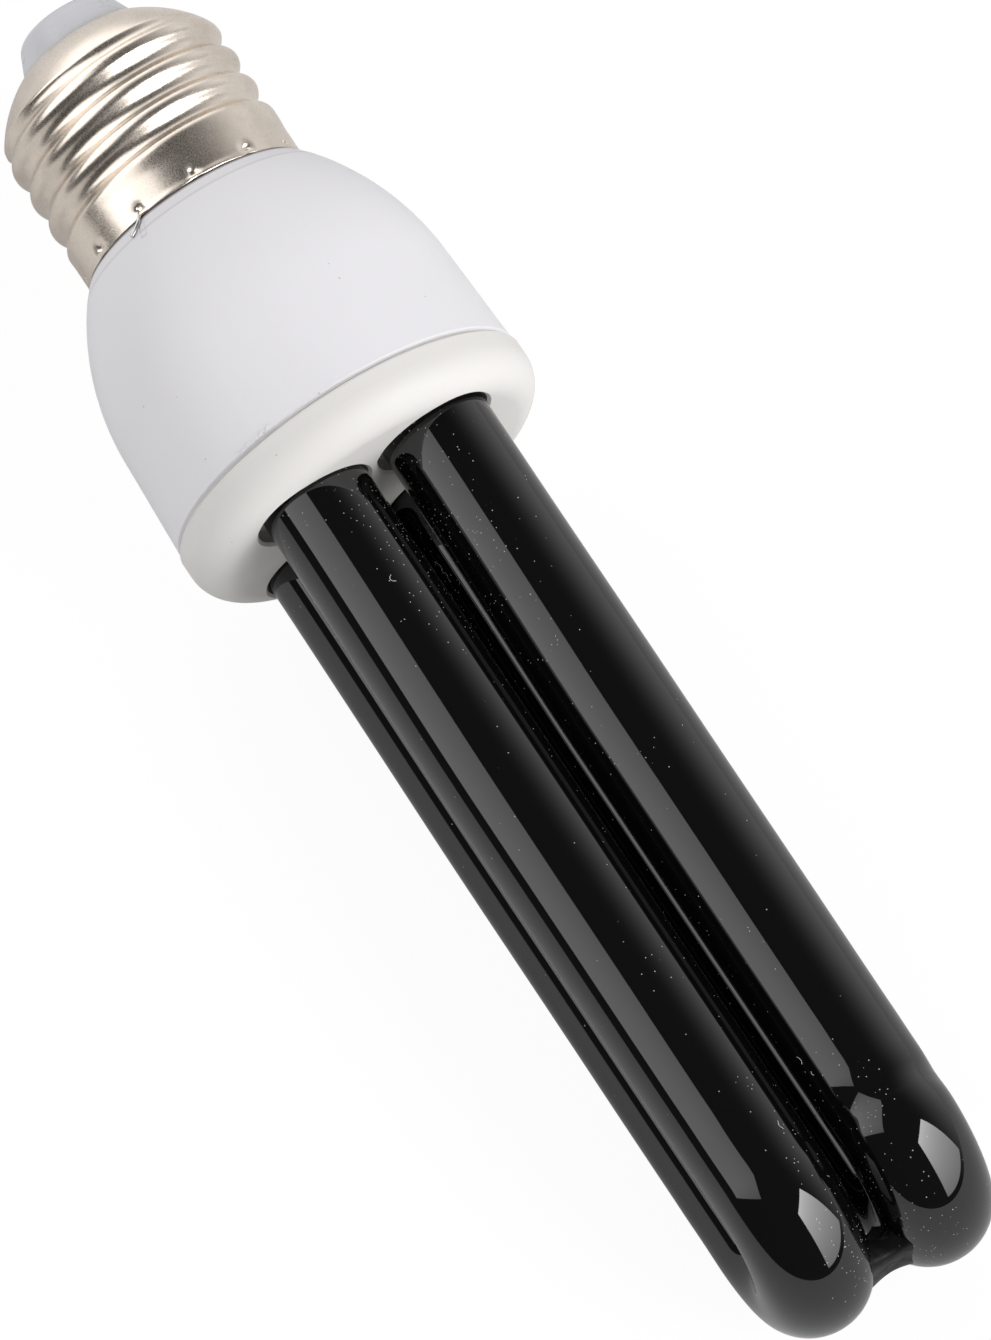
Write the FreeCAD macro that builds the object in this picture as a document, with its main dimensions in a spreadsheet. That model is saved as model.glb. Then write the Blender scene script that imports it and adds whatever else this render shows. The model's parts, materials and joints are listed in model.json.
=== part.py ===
"""Black-light lamp lying on its side: two U-bent black tubes in a two-piece housing on a screw cap."""
import FreeCAD, Part
import math
import os

import Sketcher
from FreeCAD import Placement, Rotation, Vector

# Driving dimensions in millimetres, angles in degrees
SIZES = {
    # Screw shell
    "thread_crest_dia": 26.3,
    "thread_depth": 0.9,
    "thread_pitch": 3.629,
    "thread_turns": 3.75,
    "thread_land": 0.9,
    "thread_floor": 0.9,
    "thread_overcut": 0.05,
    "shell_wall": 0.4,
    "mouth_dia": 15.0,
    "shoulder_height": 5.8,
    "shoulder_radius": 15.0,
    "collar_step": 0.1,
    "collar_height": 5.1,
    "collar_seat": 1.7,
    "lip_flare": 0.12,
    "lip_height": 1.0,
    "stake_count": 12,
    "stake_width": 1.0,
    "stake_depth": 0.35,
    "stake_rise": 1.3,
    # Insulator and centre contact
    "insulator_nose": 4.1,
    "insulator_end_dia": 10.4,
    "insulator_round": 1.8,
    "insulator_wall": 1.6,
    "insulator_depth": 9.0,
    "insulator_clearance": 0.1,
    "contact_dia": 6.0,
    "contact_height": 0.4,
    "contact_bevel": 0.3,
    "shank_dia": 2.4,
    "clinch_dia": 3.6,
    "shank_tail": 0.8,
    "shank_clearance": 0.05,
    # Upper housing
    "housing_height": 29.5,
    "housing_wall": 1.5,
    "neck_clearance": 0.05,
    "neck_wall": 1.2,
    "neck_gap": 1.3,
    "band_height": 1.6,
    "band_flare": 1.33,
    "dome_radius": 29.2,
    "wall_height": 12.5,
    "wall_draft": 0.6,
    "seam_gap": 0.25,
    "seam_bevel": 0.3,
    "rib_count": 4,
    "rib_width": 2.0,
    "rib_height": 5.0,
    "rib_reach": 1.8,
    "rib_root": 0.5,
    # Tube plate
    "rim_overhang": 0.25,
    "rim_round": 3.8,
    "plate_height": 5.7,
    "plate_wall": 1.8,
    "skirt_depth": 4.0,
    "skirt_wall": 1.0,
    "skirt_clearance": 0.15,
    "hole_clearance": 0.65,
    "hole_chamfer": 0.3,
    "hole_chamfer_angle": 45.0,
    "plate_turn": 2.8,
    # Discharge tube, its cement and the bead between the crowns
    "tube_dia": 12.0,
    "leg_spacing": 16.6,
    "tube_spacing": 14.4,
    "tube_length": 101.2,
    "leg_depth": 14.2,
    "leg_end_bevel": 2.0,
    "bridge_dia": 5.4,
    "bridge_gap": 0.6,
    "cement_depth": 4.0,
    "cement_rim": 0.52,
    "cement_clearance": 0.1,
    "bead_width": 7.6,
    "bead_depth": 3.4,
    "bead_setback": 2.2,
    "bead_bite": 1.9,
    "bead_hollow": 5.0,
    # Board and electrode wires
    "board_depth": 12.0,
    "board_wall": 1.6,
    "board_clearance": 0.25,
    "filament_dia": 0.6,
    "filament_spacing": 4.0,
    "filament_tail": 0.6,
    "filament_clearance": 0.1,
    # Parts on the board, set out from the bulk capacitor in its middle
    "part_gap": 0.3,
    "bulk_dia": 10.0,
    "bulk_height": 19.0,
    "bulk_crimp_rise": 2.2,
    "bulk_crimp_depth": 0.6,
    "bulk_bevel": 0.5,
    "choke_width": 13.0,
    "choke_depth": 5.6,
    "choke_height": 11.0,
    "choke_limb": 2.4,
    "choke_centre_limb": 3.4,
    "choke_clearance": 0.1,
    "bobbin_wall": 0.5,
    "bobbin_overhang": 1.3,
    "winding_clearance": 0.1,
    "toroid_dia": 8.6,
    "toroid_bore": 4.6,
    "toroid_height": 4.0,
    "toroid_bevel": 0.5,
    "transistor_width": 7.6,
    "transistor_depth": 3.0,
    "transistor_height": 10.8,
    "transistor_hole_dia": 3.0,
    "transistor_hole_drop": 3.8,
    "leg_height": 2.6,
    "leg_pitch": 2.3,
    "leg_width": 0.8,
    "resonant_width": 9.4,
    "resonant_depth": 4.4,
    "resonant_height": 9.0,
    "coupling_width": 5.6,
    "coupling_depth": 3.2,
    "coupling_height": 7.0,
    "diode_dia": 2.7,
    "diode_length": 5.2,
    "fuse_dia": 3.0,
    "fuse_length": 8.0,
    "axial_wire": 0.6,
    "axial_standoff": 1.0,
    "axial_reach": 2.2,
    # Leads between the cap and the board
    "lead_dia": 0.8,
    "lead_swing": 8.0,
    "live_azimuth": 186.0,
    "neutral_dia": 0.6,
    "neutral_azimuth": 121.0,
    "neutral_slot_clearance": 0.1,
    "neutral_clearance": 0.3,
    "neutral_tail": 2.6,
    "neutral_tail_angle": 70.0,
}


class Size:
    """A length that carries its value and the sheet formula that gives it."""

    def __init__(self, value, formula):
        self.value = value
        self.formula = formula

    def __add__(self, other):
        other = as_size(other)
        return Size(self.value + other.value, f"({self.formula} + {other.formula})")

    def __sub__(self, other):
        other = as_size(other)
        return Size(self.value - other.value, f"({self.formula} - {other.formula})")

    def __mul__(self, other):
        other = as_size(other)
        return Size(self.value * other.value, f"({self.formula} * {other.formula})")

    def __truediv__(self, other):
        other = as_size(other)
        return Size(self.value / other.value, f"({self.formula} / {other.formula})")

    def __neg__(self):
        return Size(-self.value, f"(0 - {self.formula})")


def as_size(number):
    return number if isinstance(number, Size) else Size(float(number), repr(float(number)))


def root(size):
    return Size(math.sqrt(size.value), f"sqrt({size.formula})")


def size(alias):
    return Size(SIZES[alias], f"Sizes.{alias}")


def make_sheet(doc):
    sheet = doc.addObject("Spreadsheet::Sheet", "Sizes")
    for row, (alias, value) in enumerate(SIZES.items(), start=1):
        sheet.set(f"A{row}", alias.replace("_", " "))
        sheet.set(f"B{row}", str(value))
        sheet.setAlias(f"B{row}", alias)
    doc.recompute()


def bind(target, prop, length):
    """Give a property its value and the formula that keeps it tied to the sheet."""
    target.setExpression(prop, as_size(length).formula)


class Step:
    """One corner of an outline; with a radius, an arc leads to it (turn 1 is anticlockwise)."""

    def __init__(self, across, along, radius=None, turn=1):
        self.across = as_size(across)
        self.along = as_size(along)
        self.radius = radius
        self.turn = turn

    def point(self):
        return Vector(self.across.value, self.along.value, 0)


def half_turn(start, end, level, radius, turn):
    """Half circle between two points at one level, as two quarter arcs."""
    crown = level - radius * turn
    return [Step((start + end) / 2, crown, radius, turn), Step(end, level, radius, turn)]


def new_sketch(body, name, role, offset=None):
    sketch = body.newObject("Sketcher::SketchObject", name)
    plane = next(item for item in body.Origin.OriginFeatures if item.Role == role)
    sketch.AttachmentSupport = [(plane, "")]
    sketch.MapMode = "FlatFace"
    if offset is not None:
        bind(sketch, "AttachmentOffset.Base.z", offset)
    return sketch


def arc_between(start, end, radius, turn):
    """Circular arc of the given radius, bulging right of the chord for turn 1 and left for turn -1."""
    middle = (start + end) * 0.5
    chord = end - start
    rise = math.sqrt(radius ** 2 - (chord.Length / 2) ** 2)
    left = Vector(-chord.y, chord.x, 0).normalize()
    centre = middle + left * (rise * turn)
    first, last = (start, end) if turn > 0 else (end, start)
    angles = [math.atan2(p.y - centre.y, p.x - centre.x) for p in (first, last)]
    if angles[1] < angles[0]:
        angles[1] += 2 * math.pi
    circle = Part.Circle(centre, Vector(0, 0, 1), radius)
    return Part.ArcOfCircle(circle, *angles)


def draw(sketch, steps, closed=True):
    """Draw lines and arcs through the steps and tie each corner and radius to its formula."""
    start_mark, end_mark = 1, 2
    ends = []
    pairs = list(zip(steps, steps[1:] + steps[:1])) if closed else list(zip(steps, steps[1:]))
    for before, after in pairs:
        if after.radius is None:
            index = sketch.addGeometry(Part.LineSegment(before.point(), after.point()), False)
            ends.append((index, start_mark, end_mark))
            continue
        arc = arc_between(before.point(), after.point(), after.radius.value, after.turn)
        index = sketch.addGeometry(arc, False)
        marks = (start_mark, end_mark) if after.turn > 0 else (end_mark, start_mark)
        ends.append((index, *marks))
        constraint = sketch.addConstraint(Sketcher.Constraint("Radius", index, after.radius.value))
        sketch.setExpression(f"Constraints[{constraint}]", after.radius.formula)
    joints = list(zip(ends, ends[1:] + ends[:1])) if closed else list(zip(ends, ends[1:]))
    for (one, _, one_end), (two, two_start, _) in joints:
        sketch.addConstraint(Sketcher.Constraint("Coincident", one, one_end, two, two_start))
    corners = [(step, index, mark) for step, (index, mark, _) in zip(steps, ends)]
    if not closed:
        corners.append((steps[-1], ends[-1][0], ends[-1][2]))
    for step, index, mark in corners:
        pin(sketch, index, mark, step.across, step.along)


def pin(sketch, index, mark, across, along):
    """Tie a point's two coordinates to their formulas."""
    for kind, length in (("DistanceX", across), ("DistanceY", along)):
        constraint = sketch.addConstraint(Sketcher.Constraint(kind, -1, 1, index, mark, length.value))
        sketch.setExpression(f"Constraints[{constraint}]", length.formula)


def circle(sketch, across, along, radius):
    centre_mark = 3
    across, along = as_size(across), as_size(along)
    centre = Vector(across.value, along.value, 0)
    index = sketch.addGeometry(Part.Circle(centre, Vector(0, 0, 1), radius.value), False)
    pin(sketch, index, centre_mark, across, along)
    constraint = sketch.addConstraint(Sketcher.Constraint("Radius", index, radius.value))
    sketch.setExpression(f"Constraints[{constraint}]", radius.formula)


def rectangle(sketch, left, right, low, high):
    draw(sketch, [Step(left, low), Step(right, low), Step(right, high), Step(left, high)])


def new_body(label):
    body = FreeCAD.ActiveDocument.addObject("PartDesign::Body", label)
    body.Label = label
    return body


def revolve(body, name, steps):
    """Turn an outline of radius and height about the body's own Z axis."""
    sketch = new_sketch(body, f"{name}_outline", "XZ_Plane")
    draw(sketch, steps)
    feature = body.newObject("PartDesign::Revolution", name)
    feature.Profile = sketch
    feature.ReferenceAxis = (sketch, ["V_Axis"])
    feature.Angle = 360
    return feature


def extrude(body, name, sketch, length, kind="PartDesign::Pad", midplane=False, back=False):
    feature = body.newObject(kind, name)
    feature.Profile = sketch
    feature.Midplane = midplane
    feature.Reversed = back
    bind(feature, "Length", length)
    return feature


def pipe(body, name, profile, spine):
    feature = body.newObject("PartDesign::AdditivePipe", name)
    feature.Profile = profile
    feature.Spine = spine
    feature.Transition = "Right corner"
    return feature


def polar(body, name, original, count):
    """Repeat a feature around the body's Z axis."""
    axis = next(item for item in body.Origin.OriginFeatures if item.Role == "Z_Axis")
    feature = body.newObject("PartDesign::PolarPattern", name)
    feature.Originals = [original]
    feature.Axis = (axis, [""])
    feature.Angle = 360
    feature.setExpression("Occurrences", f"round(Sizes.{count})")
    body.Tip = feature
    return feature


def ring_edges(shape, rings):
    """Names of the circular edges with one of the given radii and heights."""
    near = 1e-4
    names = []
    for number, edge in enumerate(shape.Edges, start=1):
        if not isinstance(edge.Curve, Part.Circle):
            continue
        for radius, height in rings:
            same_radius = abs(edge.Curve.Radius - radius.value) < near
            if same_radius and abs(edge.Curve.Center.z - height.value) < near:
                names.append(f"Edge{number}")
    return names


def soften(body, name, kind, prop, rings, length):
    """Add a fillet or chamfer to the ring edges of the body as it stands."""
    FreeCAD.ActiveDocument.recompute()
    base = body.Tip
    names = ring_edges(base.Shape, rings)
    feature = body.newObject(kind, name)
    feature.Base = (base, names)
    bind(feature, prop, length)
    return feature


def round_rings(body, name, rings, radius):
    return soften(body, name, "PartDesign::Fillet", "Radius", rings, radius)


def bevel_rings(body, name, rings, width):
    return soften(body, name, "PartDesign::Chamfer", "Size", rings, width)


class Stations:
    """Heights along the lamp's axis, from the centre contact's face to the tube crowns."""

    insulator_end = size("contact_height")
    mouth = insulator_end + size("insulator_nose")
    thread_top = mouth + size("shoulder_height")
    groove_start = thread_top - size("thread_pitch") / 2
    groove_end = groove_start + size("thread_pitch") * size("thread_turns")
    collar_seat = groove_end + size("collar_seat")
    shell_edge = groove_end + size("collar_height")
    band = shell_edge + size("band_height")
    seam = shell_edge + size("housing_height")
    housing_rim = seam - size("seam_gap")
    wall = seam - size("wall_height")
    board = seam - size("board_depth")
    board_tip_side = board + size("board_wall")
    plate_face = seam + size("plate_height")
    plate_inside = plate_face - size("plate_wall")
    cement_end = plate_inside - size("cement_depth")
    leg_end = plate_face - size("leg_depth")
    bend = plate_face + size("tube_length") - size("leg_spacing") / 2 - size("tube_dia") / 2
    tip = plate_face + size("tube_length")


class Radii:
    """Radii that two pieces share, measured from the lamp's axis."""

    crest = size("thread_crest_dia") / 2
    groove = crest - size("thread_depth")
    bore = groove - size("shell_wall")
    collar = crest - size("collar_step")
    collar_bore = collar - size("shell_wall")
    lip = collar + size("lip_flare")
    band = lip + size("band_flare")
    mouth = size("mouth_dia") / 2
    mouth_bore = mouth - size("shell_wall")
    shank = size("shank_dia") / 2
    neck = collar_bore - size("neck_clearance")
    neck_bore = neck - size("neck_wall")
    tube = size("tube_dia") / 2
    tube_hole = tube + size("hole_clearance")
    legs = root(size("tube_spacing") * size("tube_spacing") + size("leg_spacing") * size("leg_spacing")) / 2
    inner_pitch = size("tube_spacing") - size("filament_spacing")
    filaments = root(inner_pitch * inner_pitch + size("leg_spacing") * size("leg_spacing")) / 2
    cement = legs + tube + size("cement_rim")
    skirt_inside = cement + size("cement_clearance")
    skirt = skirt_inside + size("skirt_wall")
    skirt_taper = size("wall_draft") * size("skirt_depth") / size("wall_height")
    seam_inside = skirt + size("skirt_clearance") + skirt_taper
    seam = seam_inside + size("housing_wall")
    wall = seam - size("wall_draft")
    wall_inside = wall - size("housing_wall")
    board = wall_inside - size("board_clearance")
    rim = seam + size("rim_overhang")


def leg_centres():
    """Places of the four tube legs around the axis."""
    half_across, half_deep = size("tube_spacing") / 2, size("leg_spacing") / 2
    return [(across, deep) for across in (-half_across, half_across) for deep in (-half_deep, half_deep)]


def thread_profile():
    """Straight-sided groove between the crests, drawn a little past them so that the cut runs clear."""
    overcut = size("thread_overcut")
    half_floor = size("thread_floor") / 2
    half_mouth = (size("thread_pitch") - size("thread_land")) / 2
    slope = (half_mouth - half_floor) / size("thread_depth")
    reach = half_mouth + slope * overcut
    middle = Stations.groove_start
    return [
        Step(Radii.crest + overcut, middle - reach),
        Step(Radii.crest + overcut, middle + reach),
        Step(Radii.groove, middle + half_floor),
        Step(Radii.groove, middle - half_floor),
    ]


def make_screw_shell():
    body = new_body("screw_shell")
    shoulder = size("shoulder_radius")
    lip_start = Stations.shell_edge - size("lip_height")
    revolve(body, "shell_blank", [
        Step(Radii.mouth_bore, Stations.mouth),
        Step(Radii.mouth, Stations.mouth),
        Step(Radii.crest, Stations.thread_top, shoulder, 1),
        Step(Radii.crest, Stations.groove_end),
        Step(Radii.collar, Stations.collar_seat),
        Step(Radii.collar, lip_start),
        Step(Radii.lip, Stations.shell_edge),
        Step(Radii.lip - size("shell_wall"), Stations.shell_edge),
        Step(Radii.collar_bore, lip_start),
        Step(Radii.collar_bore, Stations.collar_seat),
        Step(Radii.bore, Stations.collar_seat),
        Step(Radii.bore, Stations.thread_top),
    ])
    profile = new_sketch(body, "thread_profile", "XZ_Plane")
    draw(profile, thread_profile())
    thread = body.newObject("PartDesign::SubtractiveHelix", "thread")
    thread.Profile = profile
    thread.ReferenceAxis = (profile, ["V_Axis"])
    thread.Mode = 1
    bind(thread, "Pitch", size("thread_pitch"))
    bind(thread, "Turns", size("thread_turns"))
    outline = new_sketch(body, "stake_outline", "YZ_Plane", Radii.collar - size("stake_depth"))
    half_stake = size("stake_width") / 2
    stake_height = Stations.shell_edge - size("stake_rise")
    rectangle(outline, -half_stake, half_stake, stake_height - half_stake, stake_height + half_stake)
    stake = extrude(body, "stake", outline, size("stake_depth") * 2, "PartDesign::Pocket", back=True)
    polar(body, "stakes", stake, "stake_count")
    return body


def make_contact_insulator():
    body = new_body("contact_insulator")
    clear = size("insulator_clearance")
    nose = size("insulator_end_dia") / 2
    pin_hole = Radii.shank + size("shank_clearance")
    plug = Radii.bore - clear
    inner_end = Stations.mouth + size("insulator_depth")
    floor = Stations.insulator_end + size("insulator_wall")
    cup = plug - size("insulator_wall")
    revolve(body, "insulator_turning", [
        Step(pin_hole, Stations.insulator_end),
        Step(nose, Stations.insulator_end),
        Step(Radii.mouth_bore - clear, Stations.mouth),
        Step(plug, Stations.thread_top + clear),
        Step(plug, inner_end),
        Step(cup, inner_end),
        Step(cup, Stations.thread_top),
        Step(nose - size("insulator_wall") / 2, floor),
        Step(pin_hole, floor),
    ])
    round_rings(body, "nose_round", [(nose, Stations.insulator_end)], size("insulator_round"))
    return body


def make_centre_contact():
    body = new_body("centre_contact")
    head = size("contact_dia") / 2
    tail = Stations.insulator_end + size("insulator_wall")
    base = as_size(0)
    axis = as_size(0)
    clinch = size("clinch_dia") / 2
    revolve(body, "rivet", [
        Step(axis, base),
        Step(head, base),
        Step(head, Stations.insulator_end),
        Step(Radii.shank, Stations.insulator_end),
        Step(Radii.shank, tail),
        Step(clinch, tail),
        Step(clinch, tail + size("shank_tail")),
        Step(axis, tail + size("shank_tail")),
    ])
    bevel_rings(body, "head_bevel", [(head, base)], size("contact_bevel"))
    return body


def make_upper_housing():
    body = new_body("upper_housing")
    dome = size("dome_radius")
    neck_end = Stations.collar_seat + size("neck_gap")
    revolve(body, "housing_shell", [
        Step(Radii.neck_bore, neck_end),
        Step(Radii.neck, neck_end),
        Step(Radii.neck, Stations.shell_edge),
        Step(Radii.lip, Stations.shell_edge),
        Step(Radii.band, Stations.band),
        Step(Radii.wall, Stations.wall, dome, 1),
        Step(Radii.seam, Stations.housing_rim),
        Step(Radii.seam_inside, Stations.housing_rim),
        Step(Radii.wall_inside, Stations.wall),
        Step(Radii.neck_bore, Stations.shell_edge, dome - size("housing_wall"), -1),
    ])
    bevel_rings(body, "rim_bevel", [(Radii.seam, Stations.housing_rim)], size("seam_bevel"))
    rib = new_sketch(body, "rib_outline", "YZ_Plane")
    rib_root = Radii.wall_inside + size("rib_root")
    rectangle(rib, Radii.wall_inside - size("rib_reach"), rib_root,
              Stations.board - size("rib_height"), Stations.board)
    pad = extrude(body, "rib", rib, size("rib_width"), midplane=True)
    polar(body, "ribs", pad, "rib_count")
    slot = new_sketch(body, "wire_slot_outline", "XZ_Plane")
    slot_width = size("neutral_dia") + size("neutral_slot_clearance") * 2
    rectangle(slot, Radii.collar_bore - slot_width, Radii.band + slot_width,
              neck_end - slot_width, Stations.band + slot_width)
    extrude(body, "wire_slot", slot, slot_width, "PartDesign::Pocket", midplane=True)
    return body


def make_tube_plate():
    body = new_body("tube_plate")
    axis = as_size(0)
    rim_round = size("rim_round")
    revolve(body, "plate_shell", [
        Step(axis, Stations.plate_inside),
        Step(Radii.skirt_inside, Stations.plate_inside),
        Step(Radii.skirt_inside, Stations.seam - size("skirt_depth")),
        Step(Radii.skirt, Stations.seam - size("skirt_depth")),
        Step(Radii.skirt, Stations.seam),
        Step(Radii.rim, Stations.seam),
        Step(Radii.rim, Stations.plate_face - rim_round),
        Step(Radii.rim - rim_round, Stations.plate_face, rim_round, 1),
        Step(axis, Stations.plate_face),
    ])
    bevel_rings(body, "seam_edge_bevel", [(Radii.rim, Stations.seam)], size("seam_bevel"))
    holes = new_sketch(body, "leg_holes", "XY_Plane", Stations.plate_face)
    mouths = new_sketch(body, "leg_hole_mouths", "XY_Plane", Stations.plate_face)
    for across, deep in leg_centres():
        circle(holes, across, deep, Radii.tube_hole)
        circle(mouths, across, deep, Radii.tube_hole + size("hole_chamfer"))
    extrude(body, "leg_hole_cut", holes, size("plate_wall"), "PartDesign::Pocket")
    chamfer = extrude(body, "leg_hole_chamfer", mouths, size("hole_chamfer"), "PartDesign::Pocket")
    bind(chamfer, "TaperAngle", -size("hole_chamfer_angle"))
    return body


def make_discharge_tube():
    """Sealed glass vessel: two U tubes, joined behind the plate by a short bridge tube."""
    body = new_body("discharge_tube")
    half_across, half_deep = size("tube_spacing") / 2, size("leg_spacing") / 2

    def add_u_tube(name, across):
        spine = new_sketch(body, f"{name}_spine", "YZ_Plane", across)
        draw(spine, [
            Step(-half_deep, Stations.leg_end),
            Step(-half_deep, Stations.bend),
            *half_turn(-half_deep, half_deep, Stations.bend, half_deep, -1),
            Step(half_deep, Stations.leg_end),
        ], closed=False)
        profile = new_sketch(body, f"{name}_section", "XY_Plane", Stations.leg_end)
        circle(profile, across, -half_deep, Radii.tube)
        pipe(body, name, profile, spine)

    add_u_tube("left_u_tube", -half_across)
    bridge = new_sketch(body, "bridge_section", "YZ_Plane")
    bridge_radius = size("bridge_dia") / 2
    circle(bridge, -half_deep, Stations.cement_end - size("bridge_gap") - bridge_radius, bridge_radius)
    extrude(body, "bridge", bridge, size("tube_spacing"), midplane=True)
    add_u_tube("right_u_tube", half_across)
    bevel_rings(body, "leg_ends", [(Radii.tube, Stations.leg_end)], size("leg_end_bevel"))
    return body


def make_tip_adhesive(discharge_tube):
    """Bead between the two crowns, hollowed at both ends and shaped by the glass on its sides."""
    body = new_body("adhesive_blank")
    half_width = size("tube_spacing") / 2 - Radii.tube + size("bead_bite")
    high = Stations.tip - size("bead_setback")
    low = high - size("bead_depth")
    hollow = size("bead_hollow")
    outline = new_sketch(body, "bead_outline", "XZ_Plane")
    draw(outline, [
        Step(-half_width, low),
        Step(half_width, low, hollow, -1),
        Step(half_width, high),
        Step(-half_width, high, hollow, -1),
    ])
    extrude(body, "bead", outline, size("bead_width"), midplane=True)
    bead = FreeCAD.ActiveDocument.addObject("Part::Cut", "tip_adhesive")
    bead.Label = "tip_adhesive"
    bead.Base = body
    bead.Tool = discharge_tube
    return body, bead


def make_tube_cement():
    body = new_body("tube_cement")
    axis = as_size(0)
    revolve(body, "cement_disc", [
        Step(axis, Stations.cement_end),
        Step(Radii.cement, Stations.cement_end),
        Step(Radii.cement, Stations.plate_inside),
        Step(axis, Stations.plate_inside),
    ])
    holes = new_sketch(body, "leg_sockets", "XY_Plane", Stations.plate_inside)
    for across, deep in leg_centres():
        circle(holes, across, deep, Radii.tube)
    extrude(body, "leg_socket_cut", holes, size("cement_depth"), "PartDesign::Pocket")
    return body


def filament_places():
    """Two wires for each electrode leg, in the two legs that the bridge leaves free."""
    half_spacing = size("filament_spacing") / 2
    half_across, half_deep = size("tube_spacing") / 2, size("leg_spacing") / 2
    legs, sides = (-half_across, half_across), (-half_spacing, half_spacing)
    return [(leg + side, half_deep) for leg in legs for side in sides]


def make_filament_lead(number, across, deep):
    body = new_body(f"filament_lead_{number}")
    bottom = Stations.board - size("filament_tail")
    section = new_sketch(body, f"filament_section_{number}", "XY_Plane", bottom)
    circle(section, across, deep, size("filament_dia") / 2)
    extrude(body, f"filament_wire_{number}", section, Stations.leg_end - bottom)
    return body


def make_circuit_board():
    body = new_body("circuit_board")
    disc = new_sketch(body, "board_outline", "XY_Plane", Stations.board)
    circle(disc, 0, 0, Radii.board)
    for across, deep in filament_places():
        circle(disc, across, deep, size("filament_dia") / 2 + size("filament_clearance"))
    extrude(body, "board_disc", disc, size("board_wall"))
    return body


def make_bulk_capacitor():
    body = new_body("bulk_capacitor")
    axis = as_size(0)
    can = size("bulk_dia") / 2
    crimp = size("bulk_crimp_depth")
    middle = size("bulk_crimp_rise")
    revolve(body, "can", [
        Step(axis, 0),
        Step(can, 0),
        Step(can, middle - crimp),
        Step(can - crimp, middle),
        Step(can, middle + crimp),
        Step(can, size("bulk_height")),
        Step(axis, size("bulk_height")),
    ])
    bevel_rings(body, "can_bevel", [(can, as_size(0)), (can, size("bulk_height"))], size("bulk_bevel"))
    return body


def make_choke_core():
    """Pair of E cores as one block with two windows, standing on its lower yoke."""
    body = new_body("choke_core")
    half = size("choke_width") / 2
    limb = size("choke_limb")
    post = size("choke_centre_limb") / 2
    sketch = new_sketch(body, "core_outline", "YZ_Plane")
    rectangle(sketch, -half, half, as_size(0), size("choke_height"))
    for left, right in ((-half + limb, -post), (post, half - limb)):
        rectangle(sketch, left, right, limb, size("choke_height") - limb)
    extrude(body, "core_block", sketch, size("choke_depth"), midplane=True)
    return body


class Bobbin:
    """Sizes that the bobbin and its winding share, in the choke's own frame."""

    bore_deep = size("choke_depth") / 2 + size("choke_clearance")
    bore_wide = size("choke_centre_limb") / 2 + size("choke_clearance")
    tube_deep = bore_deep + size("bobbin_wall")
    tube_wide = bore_wide + size("bobbin_wall")
    flange_wide = size("choke_width") / 2 - size("choke_limb") - size("choke_clearance")
    flange_deep = tube_deep + size("bobbin_overhang")
    low = size("choke_limb") + size("choke_clearance")
    high = size("choke_height") - size("choke_limb") - size("choke_clearance")


def square_ring(body, name, height, length, outside, inside):
    sketch = new_sketch(body, f"{name}_outline", "XY_Plane", height)
    for deep, wide in (outside, inside):
        rectangle(sketch, -deep, deep, -wide, wide)
    extrude(body, name, sketch, length)


def make_choke_bobbin():
    body = new_body("choke_bobbin")
    bore = (Bobbin.bore_deep, Bobbin.bore_wide)
    flange = (Bobbin.flange_deep, Bobbin.flange_wide)
    wall = size("bobbin_wall")
    square_ring(body, "low_flange", Bobbin.low, wall, flange, bore)
    tube = (Bobbin.tube_deep, Bobbin.tube_wide)
    square_ring(body, "bobbin_tube", Bobbin.low, Bobbin.high - Bobbin.low, tube, bore)
    square_ring(body, "high_flange", Bobbin.high - wall, wall, flange, bore)
    return body


def make_choke_winding():
    body = new_body("choke_winding")
    clear = size("winding_clearance")
    wall = size("bobbin_wall")
    height = Bobbin.low + wall + clear
    length = Bobbin.high - wall - clear - height
    outside = (Bobbin.flange_deep - clear, Bobbin.flange_wide - clear)
    inside = (Bobbin.tube_deep + clear, Bobbin.tube_wide + clear)
    square_ring(body, "winding", height, length, outside, inside)
    return body


def make_feedback_toroid():
    body = new_body("feedback_toroid")
    ring = new_sketch(body, "toroid_outline", "XY_Plane")
    radii = (size("toroid_dia") / 2, size("toroid_bore") / 2)
    for radius in radii:
        circle(ring, 0, 0, radius)
    extrude(body, "toroid_ring", ring, size("toroid_height"))
    rings = [(radius, height) for radius in radii for height in (as_size(0), size("toroid_height"))]
    bevel_rings(body, "toroid_bevel", rings, size("toroid_bevel"))
    return body


def make_switch_transistor(number):
    """Flat three-leg package with a screw hole near its top."""
    body = new_body(f"switch_transistor_{number}")
    half = size("transistor_width") / 2
    depth = size("transistor_depth")
    low = size("leg_height")
    high = low + size("transistor_height")
    outline = new_sketch(body, f"package_outline_{number}", "XZ_Plane")
    rectangle(outline, -half, half, low, high)
    circle(outline, 0, high - size("transistor_hole_drop"), size("transistor_hole_dia") / 2)
    extrude(body, f"package_{number}", outline, depth, midplane=True)
    legs = new_sketch(body, f"leg_outline_{number}", "XY_Plane")
    half_leg = size("leg_width") / 2
    for shift in (-size("leg_pitch"), as_size(0), size("leg_pitch")):
        rectangle(legs, shift - half_leg, shift + half_leg, -half_leg, half_leg)
    extrude(body, f"legs_{number}", legs, low)
    return body


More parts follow.
